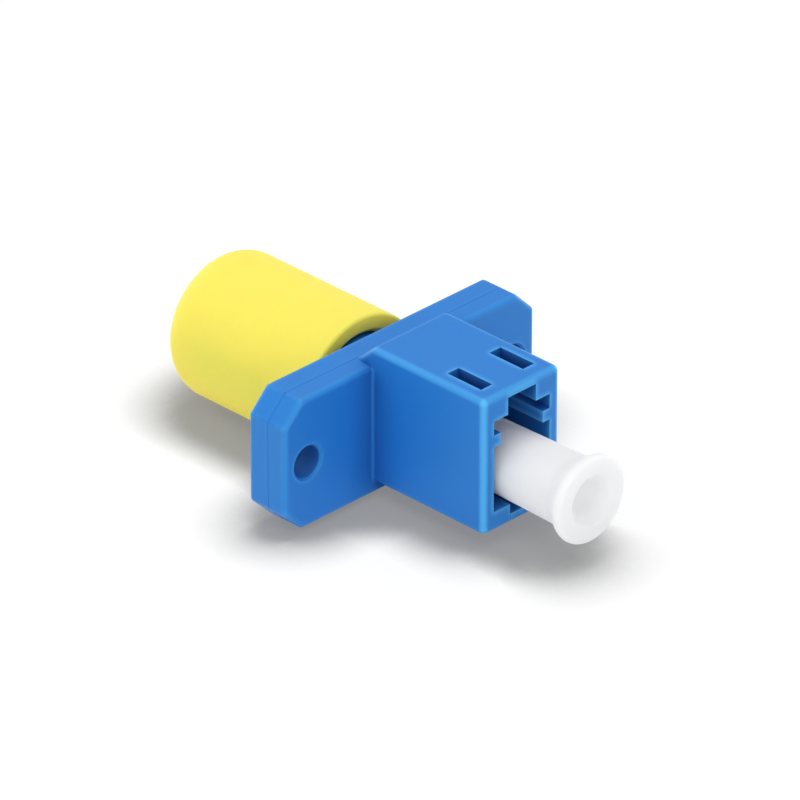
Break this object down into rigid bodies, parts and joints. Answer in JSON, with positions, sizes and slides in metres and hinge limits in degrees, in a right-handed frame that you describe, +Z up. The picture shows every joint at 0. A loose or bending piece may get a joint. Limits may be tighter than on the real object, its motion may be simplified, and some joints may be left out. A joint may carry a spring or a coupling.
{
  "type": "lc to st fibre adapter",
  "caption": "Simplex fibre adapter with a screw-down flange, a square LC port on one side and a bayonet ST barrel on the other, closed by a dust plug and a dust cap.",
  "frame": {"origin": "on the ferrule axis, midway between the two screw holes, in the plane where the flange's two moulded halves meet", "axes": "+X along the flange from screw hole to screw hole, +Y along the ferrule axis out of the ST barrel (the LC port faces -Y), +Z up, towards the port's latch windows and the barrel's keyway"},
  "size_m": [0.022, 0.0333, 0.0108],
  "materials": {
    "housing_blue": "fine-grained moulded plastic, semi-matt",
    "holder_blue": "moulded plastic, semi-matt",
    "sleeve_ceramic": "ground white zirconia",
    "bushing_metal": "nickel-plated, turned",
    "plug_white": "smooth translucent white polythene",
    "cap_yellow": "soft dipped vinyl with a low sheen"
  },
  "bodies": {
    "adapter": {"lc_housing": "housing_blue", "st_housing": "housing_blue", "lc_sleeve_holder": "holder_blue", "st_sleeve_holder": "holder_blue", "lc_split_sleeve": "sleeve_ceramic", "st_split_sleeve": "sleeve_ceramic", "step_bushing": "bushing_metal"},
    "dust_plug": {"lc_dust_plug": "plug_white"},
    "dust_cap": {"st_dust_cap": "cap_yellow"}
  },
  "joints": [
    {"name": "plug_slide", "type": "slide", "parent": "adapter", "child": "dust_plug", "axis": [0, -1, 0], "range_m": [0, 0.012]},
    {"name": "cap_slide", "type": "slide", "parent": "adapter", "child": "dust_cap", "axis": [0, 1, 0], "range_m": [0, 0.014]}
  ]
}
